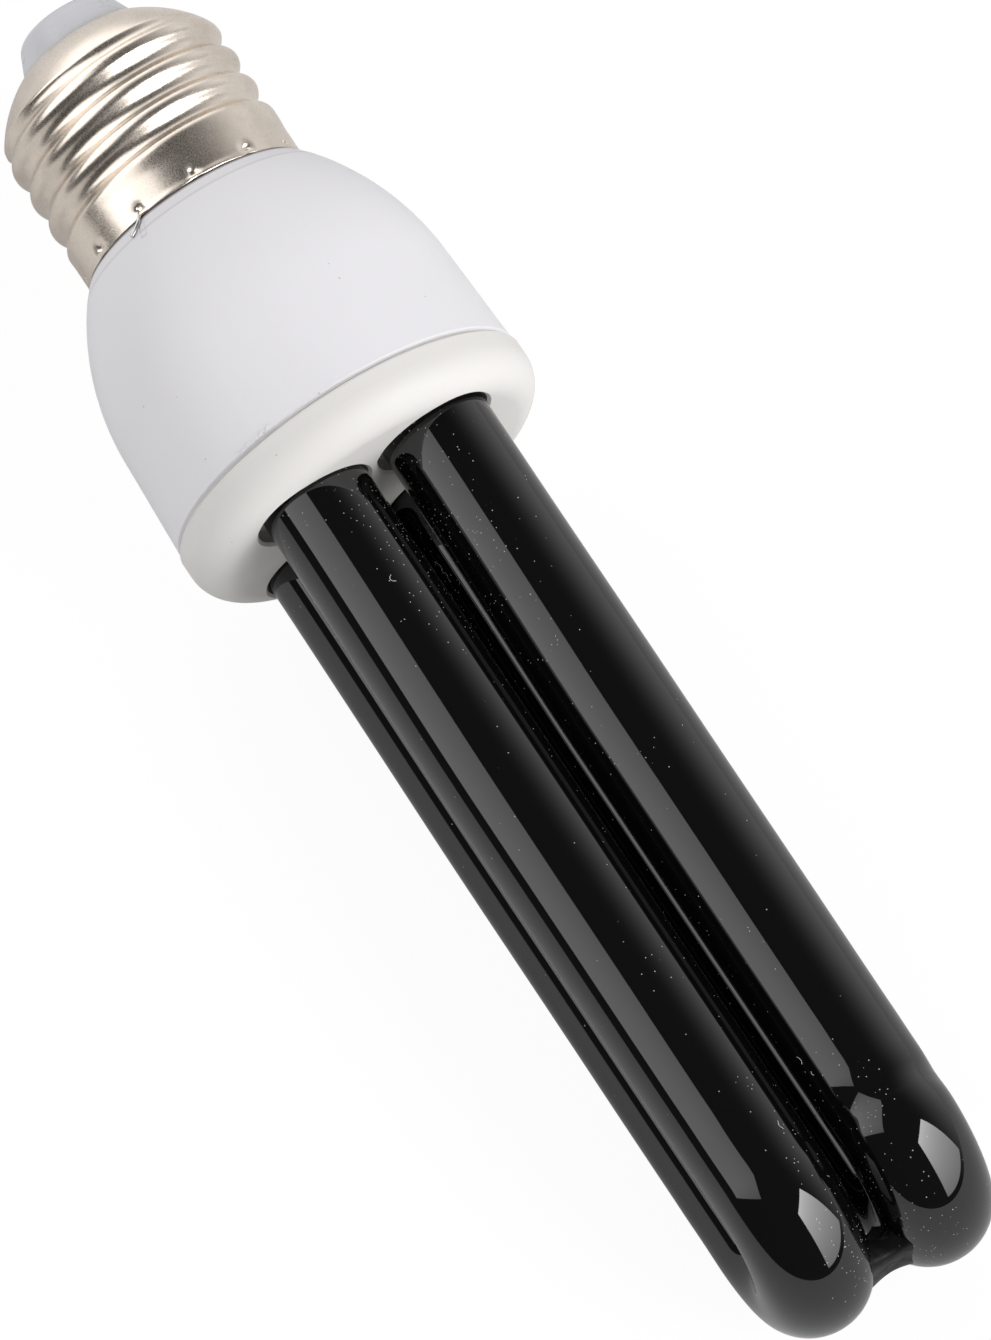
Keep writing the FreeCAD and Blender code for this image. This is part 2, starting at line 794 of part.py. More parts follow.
def make_film_capacitor(label, prefix):
    body = new_body(label)
    half_width = size(f"{prefix}_width") / 2
    half_depth = size(f"{prefix}_depth") / 2
    low = size("axial_standoff")
    outline = new_sketch(body, f"{prefix}_outline", "XY_Plane", low)
    rectangle(outline, -half_depth, half_depth, -half_width, half_width)
    extrude(body, f"{prefix}_block", outline, size(f"{prefix}_height"))
    legs = new_sketch(body, f"{prefix}_legs_outline", "XY_Plane")
    wire = size("axial_wire") / 2
    for side in (-half_width / 2, half_width / 2):
        rectangle(legs, -wire, wire, side - wire, side + wire)
    extrude(body, f"{prefix}_legs", legs, low)
    return body


def make_axial_part(label, prefix):
    """Two-lead part standing on end, its upper lead bent back down; leads are square to keep faces few."""
    body = new_body(label)
    wire = size("axial_wire") / 2
    reach = size("axial_reach")
    top = size("axial_standoff") * 2 + size(f"{prefix}_length")
    spine = new_sketch(body, f"{label}_spine", "XZ_Plane")
    draw(spine, [
        Step(0, 0),
        Step(0, top),
        Step(reach, top),
        Step(reach, 0),
    ], closed=False)
    section = new_sketch(body, f"{label}_section", "XY_Plane")
    rectangle(section, -wire, wire, -wire, wire)
    pipe(body, f"{label}_wire", section, spine)
    barrel = new_sketch(body, f"{label}_barrel_outline", "XY_Plane", size("axial_standoff"))
    circle(barrel, 0, 0, size(f"{prefix}_dia") / 2)
    extrude(body, f"{label}_barrel", barrel, size(f"{prefix}_length"))
    return body


def make_live_lead():
    """Wire from the contact's clinched tail, past the bulk capacitor, to the board."""
    body = new_body("live_lead")
    start = Stations.insulator_end + size("insulator_wall") + size("shank_tail")
    offset = size("bulk_dia") / 2 + size("part_gap") + size("lead_dia") / 2
    spine = new_sketch(body, "live_spine", "XZ_Plane")
    draw(spine, [
        Step(0, start),
        Step(0, Stations.thread_top),
        Step(offset, Stations.thread_top + size("lead_swing")),
        Step(offset, Stations.board),
    ], closed=False)
    section = new_sketch(body, "live_section", "XY_Plane", start)
    circle(section, 0, 0, size("lead_dia") / 2)
    pipe(body, "live_wire", section, spine)
    return body


def make_neutral_lead():
    """Wire that stands within the ring of electrode wires, goes over the neck and out under the shell's edge."""
    body = new_body("neutral_lead")
    outer = Radii.neck - size("neutral_dia") / 2 - size("neutral_slot_clearance")
    beside = (size("filament_dia") + size("neutral_dia")) / 2 + size("neutral_clearance")
    inner = Radii.filaments - beside
    over = Stations.collar_seat + size("neck_gap") - size("neutral_dia")
    exit_height = Stations.shell_edge + size("neutral_dia")
    tail_angle = math.radians(SIZES["neutral_tail_angle"])
    tail = size("neutral_tail")
    spine = new_sketch(body, "neutral_spine", "XZ_Plane")
    draw(spine, [
        Step(inner, Stations.board),
        Step(inner, over),
        Step(outer, over),
        Step(outer, exit_height),
        Step(outer + tail * math.sin(tail_angle), exit_height + tail * math.cos(tail_angle)),
    ], closed=False)
    section = new_sketch(body, "neutral_section", "XY_Plane", Stations.board)
    circle(section, inner, 0, size("neutral_dia") / 2)
    pipe(body, "neutral_wire", section, spine)
    return body


def rest_placement():
    """Lay the lamp on the tube plate's rim and the two lower crowns, with the crowns towards +X."""
    rim_round = SIZES["rim_round"]
    rim_centre = Radii.rim.value - rim_round
    rim_height = Stations.plate_face.value - rim_round
    crown = SIZES["leg_spacing"] / 2 + Radii.tube.value
    span = Stations.bend.value - rim_height
    lean = math.atan2(rim_centre, span) + math.asin((rim_round - crown) / math.hypot(span, rim_centre))
    far = Stations.bend.value * math.cos(lean) + crown
    near = -(SIZES["contact_dia"] / 2 - SIZES["contact_bevel"]) * math.sin(lean)
    lift = Stations.bend.value * math.sin(lean) + crown
    turn = Rotation(Vector(0, 1, 0), Vector(math.sin(lean), 0, math.cos(lean)),
                    Vector(math.cos(lean), 0, -math.sin(lean)), "XYZ")
    return Placement(Vector(-(far + near) / 2, 0, lift), turn)


def about_axis(azimuth):
    return Placement(Vector(), Rotation(Vector(0, 0, 1), azimuth))


def on_board(across, deep, azimuth=0.0):
    """Place for a part that stands on the board's side towards the cap."""
    flip = Rotation(Vector(1, 0, 0), 180)
    return Placement(Vector(across, deep, Stations.board.value), flip * Rotation(Vector(0, 0, 1), azimuth))


def make_board_parts():
    """Ballast parts with their places on the board, set out around the bulk capacitor."""
    gap = SIZES["part_gap"]
    can = SIZES["bulk_dia"] / 2 + gap
    lead_lane = can + SIZES["lead_dia"] + gap
    choke_x = can + Bobbin.flange_deep.value
    transistor_y = can + SIZES["transistor_depth"] / 2
    behind_transistor = transistor_y + SIZES["transistor_depth"] / 2 + gap
    toroid = SIZES["toroid_dia"] / 2
    resonant_x = lead_lane + SIZES["resonant_depth"] / 2
    resonant_y = SIZES["resonant_width"] / 2 + gap
    coupling_x = SIZES["coupling_width"] / 2
    coupling_y = behind_transistor + SIZES["coupling_depth"] / 2
    fuse_x = SIZES["coupling_width"] + gap + SIZES["fuse_dia"] / 2
    parts = [
        (make_bulk_capacitor(), on_board(0, 0)),
        (make_choke_core(), on_board(choke_x, 0)),
        (make_choke_bobbin(), on_board(choke_x, 0)),
        (make_choke_winding(), on_board(choke_x, 0)),
        (make_feedback_toroid(), on_board(-lead_lane - toroid, -toroid - gap)),
        (make_switch_transistor(1), on_board(0, transistor_y)),
        (make_switch_transistor(2), on_board(0, -transistor_y)),
        (make_film_capacitor("resonant_capacitor", "resonant"), on_board(-resonant_x, resonant_y)),
        (make_film_capacitor("coupling_capacitor", "coupling"), on_board(coupling_x, coupling_y, 90)),
        (make_axial_part("fuse_resistor", "fuse"), on_board(fuse_x, coupling_y, -90)),
    ]
    diode_count = 4
    diode_pitch = SIZES["diode_dia"] + gap
    diode_y = behind_transistor + SIZES["diode_dia"] / 2
    for number in range(1, diode_count + 1):
        diode_x = (number - (diode_count + 1) / 2) * diode_pitch
        diode = make_axial_part(f"rectifier_diode_{number}", "diode")
        parts.append((diode, on_board(diode_x, -diode_y, 90)))
    return parts


def main():
    doc = FreeCAD.newDocument("black_light_lamp")
    make_sheet(doc)
    rest = rest_placement()
    tube = make_discharge_tube()
    blank, bead = make_tip_adhesive(tube)
    placed = [
        (make_screw_shell(), Placement()),
        (make_contact_insulator(), Placement()),
        (make_centre_contact(), Placement()),
        (make_upper_housing(), about_axis(SIZES["neutral_azimuth"])),
        (make_tube_plate(), about_axis(SIZES["plate_turn"])),
        (tube, Placement()),
        (make_tube_cement(), Placement()),
        (make_circuit_board(), Placement()),
        (make_live_lead(), about_axis(SIZES["live_azimuth"])),
        (make_neutral_lead(), about_axis(SIZES["neutral_azimuth"])),
    ]
    for number, (across, deep) in enumerate(filament_places(), start=1):
        placed.append((make_filament_lead(number, across, deep), Placement()))
    placed += make_board_parts()
    for body, place in placed:
        body.Placement = rest.multiply(place)
    blank.Placement = rest
    doc.recompute()
    nodes = [body for body, place in placed] + [bead]
    for item in doc.Objects:
        if "Invalid" in item.State or "Error" in item.State:
            raise RuntimeError(f"{item.Name} failed: {item.State}")
    for node in nodes:
        if node.Shape.isNull() or not node.Shape.isValid():
            raise RuntimeError(f"{node.Label} has no valid shape")
    os.makedirs("parts", exist_ok=True)
    for node in nodes:
        node.Shape.exportStep(f"parts/{node.Label}.step")
        print(node.Label, len(node.Shape.Solids), round(node.Shape.Volume, 2))


main()
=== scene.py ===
import json
import math

import bpy
import numpy as np
from mathutils import Matrix, Vector

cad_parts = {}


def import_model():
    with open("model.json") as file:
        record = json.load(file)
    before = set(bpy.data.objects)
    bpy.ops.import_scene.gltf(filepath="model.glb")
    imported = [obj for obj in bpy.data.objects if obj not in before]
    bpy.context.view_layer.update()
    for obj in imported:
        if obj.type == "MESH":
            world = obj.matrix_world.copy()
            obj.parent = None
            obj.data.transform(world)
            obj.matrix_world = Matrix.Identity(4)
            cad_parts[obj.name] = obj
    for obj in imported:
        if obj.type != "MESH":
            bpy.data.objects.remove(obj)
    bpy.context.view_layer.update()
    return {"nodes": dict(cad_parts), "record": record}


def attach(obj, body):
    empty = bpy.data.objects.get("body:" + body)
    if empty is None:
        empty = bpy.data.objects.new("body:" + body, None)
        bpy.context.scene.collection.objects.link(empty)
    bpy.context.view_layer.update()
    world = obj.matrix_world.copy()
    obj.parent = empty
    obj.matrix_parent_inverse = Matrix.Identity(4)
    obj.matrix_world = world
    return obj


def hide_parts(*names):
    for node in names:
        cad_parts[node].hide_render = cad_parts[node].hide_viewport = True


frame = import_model()

# Lamp axes: x across the lamp, y up towards the viewer, z from the centre contact to the tube crowns.
# Lengths along and across the lamp are millimetres until they are placed.
MM = 0.001
contact = next(m for m in frame["record"]["mounts"] if m["name"] == "contact_face")
along = -Vector(contact["axis"]).normalized()
across = Vector((0, 1, 0))
LAMP = Matrix((across, along.cross(across), along)).transposed().to_4x4()
LAMP.translation = Vector(contact["pos_m"])
PLACE = LAMP @ Matrix.Scale(MM, 4)

# Stations along the lamp
MOUTH, THREAD_TOP, GROOVE_START, GROOVE_END = 4.5, 10.3, 8.486, 22.094
COLLAR, SHELL_EDGE, BAND, BOARD = 23.794, 27.194, 28.79, 44.69
LEG_END, SEAM, BEND, TIP = 48.19, 56.69, 149.29, 163.59
# Radii
MOUTH_R, CREST_R, COLLAR_R, LIP_R = 7.5, 13.15, 13.05, 13.17
BAND_R, SEAM_R, TUBE_R = 14.5, 20.449, 6.0
# Middle of each tube leg
TUBE_X, LEG_Y = 7.2, 8.3


def smooth(low, high, value):
    t = np.clip((value - low) / (high - low), 0.0, 1.0)
    return t * t * (3 - 2 * t)


def placed(points):
    m = np.array(PLACE)
    return points @ m[:3, :3].T + m[:3, 3]


def polar(radius, azimuth, z):
    a = math.radians(azimuth)
    return (radius * math.cos(a), radius * math.sin(a), z)


def circle(count):
    return np.linspace(0, 2 * math.pi, count, endpoint=False)


def mesh_piece(name, points, faces, slot, stands_for=None, shade=True):
    """A piece of the lamp, in the place of a CAD node or as small detail beside the nodes."""
    mesh = bpy.data.meshes.new(name)
    mesh.from_pydata(placed(np.asarray(points, float)).tolist(), [], faces)
    mesh.validate()
    mesh.update()
    if shade:
        mesh.shade_smooth()
    piece = bpy.data.objects.new(name, mesh)
    bpy.context.scene.collection.objects.link(piece)
    piece.data.materials.append(MATERIALS[slot])
    if stands_for:
        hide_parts(stands_for)
    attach(piece, "root")


def grid_faces(rows, columns, offset=0, close_rows=False):
    """Quads of a grid whose columns go round, with the row number as the slow index."""
    faces = []
    last = rows if close_rows else rows - 1
    for i in range(last):
        low, high = i * columns, (i + 1) % rows * columns
        for j in range(columns):
            k = (j + 1) % columns
            faces.append((offset + low + j, offset + low + k, offset + high + k, offset + high + j))
    return faces


def tube_faces(rows, columns, offset=0):
    """Quads of an open grid, with one face over each end."""
    last = offset + (rows - 1) * columns
    first_end = tuple(offset + j for j in reversed(range(columns)))
    last_end = tuple(last + j for j in range(columns))
    return grid_faces(rows, columns, offset) + [first_end, last_end]


# Materials


class Nodes:
    """A node tree, with short names for the nodes used here."""

    def __init__(self, tree):
        self.tree = tree

    def add(self, kind, inputs=None, **settings):
        node = self.tree.nodes.new(kind)
        for key, value in settings.items():
            setattr(node, key, value)
        for key, value in (inputs or {}).items():
            self.put(node.inputs[key], value)
        return node

    def put(self, socket, value):
        if isinstance(value, bpy.types.NodeSocket):
            self.tree.links.new(value, socket)
        else:
            socket.default_value = value

    def ramp(self, value, low, high, to_low=0.0, to_high=1.0):
        inputs = {"Value": value, "From Min": low, "From Max": high, "To Min": to_low, "To Max": to_high}
        return self.add("ShaderNodeMapRange", inputs).outputs["Result"]

    def maths(self, operation, *values):
        return self.add("ShaderNodeMath", dict(enumerate(values)), operation=operation).outputs[0]

    def dot(self, vector, axis):
        node = self.add("ShaderNodeVectorMath", {0: vector, 1: axis}, operation="DOT_PRODUCT")
        return node.outputs["Value"]


class Finish(Nodes):
    """A material's nodes."""

    def __init__(self, name):
        self.material = bpy.data.materials.new(name)
        self.material.use_nodes = True
        super().__init__(self.material.node_tree)
        self.shader = self.tree.nodes["Principled BSDF"]
        self.where = self.add("ShaderNodeTexCoord").outputs["Object"]

    def noise(self, scale, detail=3.0, rough=0.5):
        inputs = {"Vector": self.where, "Scale": scale, "Detail": detail, "Roughness": rough}
        return self.add("ShaderNodeTexNoise", inputs).outputs["Fac"]

    def mix(self, factor, a, b):
        node = self.add("ShaderNodeMix", data_type="RGBA")
        self.put(node.inputs["Factor"], factor)
        self.put(node.inputs["A"], a)
        self.put(node.inputs["B"], b)
        return node.outputs["Result"]

    def station(self, *spans):
        """A value by the distance along the lamp.

        A span is two (millimetres, value) ends with a straight run between them. Spans are multiplied.
        """
        metres = self.dot(self.where, along)
        start = along.dot(LAMP.translation)
        runs = [self.ramp(metres, start + a * MM, start + b * MM, p, q) for (a, p), (b, q) in spans]
        total = runs[0]
        for run in runs[1:]:
            total = self.maths("MULTIPLY", total, run)
        return total

    def aside(self, near, far):
        """One up to near from the lamp's middle plane and none past far, in millimetres."""
        away = self.maths("ABSOLUTE", self.dot(self.where, across))
        return self.ramp(away, near * MM, far * MM, 1.0, 0.0)

    def specks(self, scale, size, share):
        """Round specks: a share of the cells of a Voronoi pattern has one."""
        cells = self.add("ShaderNodeTexVoronoi", {"Vector": self.where, "Scale": scale})
        draw = self.add("ShaderNodeSeparateColor", {"Color": cells.outputs["Color"]}).outputs["Red"]
        keep = self.maths("GREATER_THAN", self.maths("ADD", draw, share), 1.0)
        return self.maths("MULTIPLY", keep, self.ramp(cells.outputs["Distance"], size, size * 0.6))

    def bump(self, height, strength, distance):
        inputs = {"Height": height, "Strength": strength, "Distance": distance}
        self.put(self.shader.inputs["Normal"], self.add("ShaderNodeBump", inputs).outputs["Normal"])

    def set(self, **values):
        names = {"colour": "Base Color", "rough": "Roughness", "metal": "Metallic", "ior": "IOR",
                 "specular": "Specular IOR Level"}
        for key, value in values.items():
            self.put(self.shader.inputs[names[key]], value)


def rgb(r, g, b):
    return (r, g, b, 1.0)


# Relief height of a bump, in metres, and how far the gloss of a finish varies either way
RELIEF = 0.0001
PLAIN_GLOSS, MOULDED_GLOSS = 0.06, 0.05


def plain(name, dark, light, rough, metal=0.0, grain=900.0, bump=0.05):
    """A finish that varies in colour, gloss and relief over a few millimetres."""
    n = Finish(name)
    n.set(colour=n.mix(n.noise(grain * 0.3), rgb(*dark), rgb(*light)), metal=metal)
    n.set(rough=n.ramp(n.noise(grain), 0.3, 0.7, rough - PLAIN_GLOSS, rough + PLAIN_GLOSS))
    n.bump(n.noise(grain * 3), bump, RELIEF)
    return n.material


NICKEL, NICKEL_STAIN = (0.82, 0.735, 0.65), (0.7, 0.615, 0.53)
NICKEL_ROUGH = (0.18, 0.41)


def nickel():
    """Plating with stains, an uneven gloss and patches of fine scuffs."""
    n = Finish("nickel")
    stain = n.ramp(n.noise(160, 5.0, 0.65), 0.42, 0.72)
    n.set(colour=n.mix(stain, rgb(*NICKEL), rgb(*NICKEL_STAIN)), metal=1.0)
    n.set(rough=n.ramp(n.noise(12000, 2.0), 0.32, 0.68, *NICKEL_ROUGH))
    scuffs = n.maths("MULTIPLY", n.ramp(n.noise(150, 2.0), 0.56, 0.68), n.noise(4200, 2.0))
    n.bump(n.maths("ADD", n.noise(2600, 3.0), n.maths("MULTIPLY", scuffs, 2.5)), 0.06, RELIEF)
    return n.material


# Grey of the plastic's stray specks and of its painted shade
SHADE_AND_SPECK_GREY = (0.10, 0.10, 0.11)
# Strength of the painted shade line along the band's step and of the painted shadow under the shell's edge,
# and the specks' darkness
BAND_SHADE, EDGE_SHADOW, SPECK_DARKNESS = 0.22, 0.85, 0.34


def moulded(name, shade, light, rough, speck_share):
    """Satin plastic with a painted shade line along the band's step, a painted shadow at the shell's edge,
    and stray specks.
    """
    n = Finish(name)
    n.set(specular=0.3)
    base = n.mix(n.noise(55, 2.0), rgb(*shade), rgb(*light))
    # Painted shade: a dark line along the band's step, strongest at the step
    band_shade = n.station(((BAND - 0.3, 0.0), (BAND, BAND_SHADE)), ((BAND, 1.0), (BAND + 0.16, 0.0)))
    # Painted shadow: dark under the shell from past the mouth, fading out just past the shell's edge
    edge_shadow = ((SHELL_EDGE + 0.08, EDGE_SHADOW), (SHELL_EDGE + 0.36, 0.0))
    past_mouth = ((MOUTH + 1, 0.0), (MOUTH + 2, 1.0))
    specks = n.maths("MULTIPLY", n.specks(420, 0.06, speck_share), SPECK_DARKNESS)
    # The specks are the plastic's own; the band line and the edge line are painted shade
    shade_and_specks = n.maths("MAXIMUM", n.maths("MAXIMUM", band_shade, specks), n.station(edge_shadow, past_mouth))
    n.set(colour=n.mix(shade_and_specks, base, rgb(*SHADE_AND_SPECK_GREY)))
    n.set(rough=n.ramp(n.noise(700, 4.0), 0.3, 0.7, rough - MOULDED_GLOSS, rough + MOULDED_GLOSS))
    n.bump(n.noise(1800, 4.0), 0.035, RELIEF)
    return n.material


GLASS, GLASS_DUST, GLASS_IOR = (0.0022, 0.0022, 0.0026), (0.36, 0.35, 0.34), 1.6
DUST_ROUGH, GLASS_ROUGH = 0.6, (0.015, 0.045)


def black_glass():
    """Opaque glass with thin dust all over, and more between the tubes near their ends and at the plate."""
    n = Finish("black_glass")
    patchy = n.ramp(n.noise(140, 2.0), 0.33, 0.6)
    ends = n.maths("MAXIMUM", n.station(((92, 0.15), (74, 1.0))), n.station(((138, 0.12), (156, 1.0))))
    between = n.maths("MULTIPLY", n.aside(4.0, 8.5), ends)
    valley = n.maths("MULTIPLY", between, n.ramp(patchy, 0.0, 1.0, 0.2, 0.7))
    neck = n.maths("MULTIPLY", n.station(((76, 0.0), (66, 1.0))), 0.07)
    thin = n.maths("ADD", n.maths("MULTIPLY", patchy, 0.012), n.maths("ADD", neck, 0.002))
    fine = n.specks(2300, 0.18, n.maths("ADD", thin, valley))
    coarse = n.specks(1150, 0.095, n.maths("MULTIPLY", patchy, 0.014))
    dust = n.maths("MAXIMUM", coarse, fine)
    n.set(colour=n.mix(dust, rgb(*GLASS), rgb(*GLASS_DUST)), ior=GLASS_IOR)
    clean = n.ramp(n.noise(260), 0.3, 0.7, *GLASS_ROUGH)
    n.set(rough=n.maths("ADD", n.maths("MULTIPLY", dust, DUST_ROUGH), clean))
    n.bump(n.noise(90, 2.0), 0.04, 2 * RELIEF)
    return n.material


SILICONE, SILICONE_DUST = (0.004, 0.004, 0.004), (0.2, 0.19, 0.185)


def silicone():
    """Uneven cured bead, with dust settled on what faces up."""
    n = Finish("silicone")
    level = n.dot(n.add("ShaderNodeNewGeometry").outputs["Normal"], LAMP.col[1].xyz)
    settled = n.maths("MULTIPLY", n.ramp(n.noise(300, 3.0), 0.35, 0.6), n.ramp(level, 0.2, 0.8))
    dust = n.maths("MULTIPLY", n.specks(2000, 0.16, 0.4), settled)
    n.set(colour=n.mix(dust, rgb(*SILICONE), rgb(*SILICONE_DUST)), specular=0.14)
    n.set(rough=n.ramp(n.noise(500, 4.0), 0.3, 0.7, 0.25, 0.5))
    n.bump(n.noise(1200, 4.0), 0.3, 3 * RELIEF)
    return n.material


MATERIALS = {
    "nickel": nickel(),
    "insulator_white": moulded("insulator_white", (0.54, 0.54, 0.565), (0.58, 0.58, 0.605), 0.30, 0.0),
    "dome_white": moulded("dome_white", (0.684, 0.673, 0.696), (0.715, 0.704, 0.727), 0.42, 0.3),
    "plate_white": moulded("plate_white", (0.65, 0.634, 0.616), (0.68, 0.664, 0.646), 0.48, 0.3),
    "black_glass": black_glass(),
    "silicone": silicone(),
    "contact_metal": plain("contact_metal", (0.55, 0.50, 0.44), (0.66, 0.61, 0.54), 0.3, 1.0),
    "cement": plain("cement", (0.42, 0.40, 0.36), (0.56, 0.54, 0.50), 0.85, bump=0.4),
    "board": plain("board", (0.20, 0.13, 0.05), (0.30, 0.20, 0.09), 0.6),
    "tinned_wire": plain("tinned_wire", (0.52, 0.51, 0.50), (0.70, 0.69, 0.68), 0.28, 1.0, 1500),
    "sleeve": plain("sleeve", (0.55, 0.55, 0.52), (0.68, 0.68, 0.65), 0.6),
    "ferrite": plain("ferrite", (0.018, 0.018, 0.019), (0.04, 0.04, 0.042), 0.55, bump=0.3),
    "bobbin": plain("bobbin", (0.03, 0.03, 0.03), (0.05, 0.05, 0.05), 0.45),
    "winding": plain("winding", (0.38, 0.13, 0.05), (0.52, 0.20, 0.08), 0.3, 0.6, 1800),
    "package": plain("package", (0.012, 0.012, 0.013), (0.03, 0.03, 0.032), 0.5),
    "film": plain("film", (0.30, 0.06, 0.03), (0.42, 0.10, 0.05), 0.4),
    "resistor": plain("resistor", (0.36, 0.30, 0.20), (0.48, 0.41, 0.29), 0.5),
}

for node in frame["nodes"].values():
    for holder in node.material_slots:
        holder.material = MATERIALS[holder.material.name.split(".")[0]]


# Screw shell: shoulder, rolled thread and staked collar


SHOULDER_RADIUS, SHELL_WALL = 15.0, 0.4
# Width and depth of the easing where the shoulder meets the thread
SHOULDER_BLEND, SHOULDER_EASE = 0.35, 0.35
PITCH, THREAD_DEPTH, THREAD_TURNS = 3.629, 0.9, 3.75
# Turns over which the thread begins and runs out
RUN_IN, RUN_OUT = (-0.1, 0.12), (THREAD_TURNS - 0.22, THREAD_TURNS + 0.1)
STAKE_COUNT, STAKE_PHASE, STAKE_RISE, STAKE_RADIUS, STAKE_DEPTH = 12, 29.3, 1.0, 0.5, 0.36
DENT_RADIUS, DENT_DEPTH = 1.3, 0.22
# The edge: its height, its sink, its gap to the housing and how far a stake pulls it back
EDGE_HEIGHT, EDGE_SINK, EDGE_GAP, EDGE_PULL = 1.0, 0.05, 0.17, 0.2
# Waves round the edge: amplitude, count and phase
RADIUS_WAVES = ((0.03, 5, 0.7), (0.03, 9, 2.1))
HEIGHT_WAVES = ((0.05, 4, 1.0), (0.03, 11, 0.0))
SHELL_COLUMNS, SHOULDER_ROWS, THREAD_ROWS, COLLAR_ROWS = 480, 22, 96, 34
# Where the closer rows start, before the shoulder's end
ROWS_AHEAD = 1.2
LINING_COLLAR_ROWS, LINING_ROWS = 6, 24


def thread_drop(distance):
    """How far the rolled thread lies under its crest, by the distance along the axis from the groove."""
    half = PITCH / 2
    arc = (half ** 2 + THREAD_DEPTH ** 2) / (4 * THREAD_DEPTH)
    far = np.abs(distance)
    groove = THREAD_DEPTH - arc + np.sqrt(arc ** 2 - np.minimum(far, half / 2) ** 2)
    crest = arc - np.sqrt(arc ** 2 - np.minimum(half - far, half / 2) ** 2)
    return np.where(far < half / 2, groove, crest)


def shell_body(z):
    """Radius of the shell without its thread."""
    middle = np.array([MOUTH_R + CREST_R, MOUTH + THREAD_TOP]) / 2
    chord = np.array([CREST_R - MOUTH_R, THREAD_TOP - MOUTH])
    length = np.hypot(*chord)
    inward = np.array([-chord[1], chord[0]]) / length
    centre = middle + inward * math.sqrt(SHOULDER_RADIUS ** 2 - length ** 2 / 4)
    dome = centre[0] + np.sqrt(SHOULDER_RADIUS ** 2 - (np.minimum(z, centre[1]) - centre[1]) ** 2)
    wall = CREST_R + (COLLAR_R - CREST_R) * smooth(GROOVE_END, COLLAR, z)
    ease = SHOULDER_BLEND * np.exp(-np.abs(dome - wall) / SHOULDER_BLEND) * SHOULDER_EASE
    return np.minimum(dome, wall) - ease


def waves(angle, table):
    return sum(size * np.sin(count * angle + phase) for size, count, phase in table)


def shell_surface(angle, z):
    """Outer radius and height of the shell at each angle and height."""
    turn = angle / (2 * math.pi)
    place = (z - GROOVE_START) / PITCH - turn
    nearest = np.round(place)
    along_turn = nearest + turn
    depth = smooth(*RUN_IN, along_turn) * (1 - smooth(*RUN_OUT, along_turn))
    threaded = CREST_R - thread_drop((place - nearest) * PITCH) * depth
    radius = np.minimum(shell_body(z), threaded)
    edge = smooth(SHELL_EDGE - EDGE_HEIGHT, SHELL_EDGE, z)
    radius = radius + edge * (LIP_R - COLLAR_R + waves(angle, RADIUS_WAVES) - EDGE_SINK)
    pull = 0
    for k in range(STAKE_COUNT):
        middle = math.radians(STAKE_PHASE + 360 / STAKE_COUNT * k)
        aside = (np.mod(angle - middle + math.pi, 2 * math.pi) - math.pi) * COLLAR_R
        off = np.hypot(aside, z - (SHELL_EDGE - STAKE_RISE))
        radius = radius - STAKE_DEPTH * (1 - smooth(0.0, STAKE_RADIUS, off))
        radius = radius - DENT_DEPTH * (1 - smooth(0.0, DENT_RADIUS, off))
        pull = pull + EDGE_PULL * (1 - smooth(0.0, DENT_RADIUS, np.abs(aside)))
    height = z - edge * (EDGE_GAP + pull + waves(angle, HEIGHT_WAVES))
    return radius, height


def screw_shell():
    angle = circle(SHELL_COLUMNS)
    outer = np.concatenate([
        np.linspace(MOUTH, THREAD_TOP - ROWS_AHEAD, SHOULDER_ROWS, endpoint=False),
        np.linspace(THREAD_TOP - ROWS_AHEAD, COLLAR, THREAD_ROWS, endpoint=False),
        np.linspace(COLLAR, SHELL_EDGE, COLLAR_ROWS),
    ])
    inner = np.concatenate([
        np.linspace(SHELL_EDGE, COLLAR, LINING_COLLAR_ROWS),
        np.linspace(COLLAR - 1, MOUTH + 0.3, LINING_ROWS),
    ])
    a, z = np.meshgrid(angle, outer)
    radius, height = shell_surface(a, z)
    b, w = np.meshgrid(angle, inner)
    lining = shell_body(w) - SHELL_WALL - THREAD_DEPTH * smooth(COLLAR, COLLAR - 1, w) * smooth(8, 10, w)
    rounds = np.concatenate([radius, lining])
    turns = np.concatenate([a, b])
    heights = np.concatenate([height, w])
    points = np.stack([rounds * np.cos(turns), rounds * np.sin(turns), heights], axis=-1).reshape(-1, 3)
    faces = grid_faces(len(outer) + len(inner), SHELL_COLUMNS, close_rows=True)
    mesh_piece("screw_shell_rolled", points, faces, "nickel", "screw_shell")


# Discharge tube: two U-shaped tubes of drawn glass, joined inside the housing


# A slight neck where the glass was heated for its bend, deeper on one tube
KINK_DEPTH, KINK_PLACE, KINK_LENGTH = {-1: 0.03, 1: 0.54}, -1.0, 1.6
# Past the plate the glass is slightly oval, and its front legs stand a little aside
OVAL, FRONT_SHIFT, SETTLING = 0.04, 0.2, (64, 100)
# Share of the radius, and the drawn glass's uneven thickness along the legs and near the bend
TUBE_SHARE, LEG_RIPPLE, BEND_RIPPLE = 0.9965, 0.0015, 0.002
TUBE_STEPS, TUBE_SIDES = 90, 96
BRIDGE_RADIUS, BRIDGE_RISE, BRIDGE_STEPS, BRIDGE_SIDES = 2.4, 4.5, 5, 32


def tube_spine():
    """Height, distance along the lamp and turn of one U, from the front leg's end to the back leg's."""
    straight = np.linspace(LEG_END, BEND, TUBE_STEPS, endpoint=False)
    turn = np.linspace(0, math.pi, TUBE_STEPS, endpoint=False)
    front = [(LEG_Y, z, 0.0) for z in straight]
    crown = [(LEG_Y * math.cos(t), BEND + LEG_Y * math.sin(t), t) for t in turn]
    back = [(-LEG_Y, z, math.pi) for z in np.append(straight[::-1], LEG_END)]
    back[0] = (-LEG_Y, BEND, math.pi)
    return front + crown + back


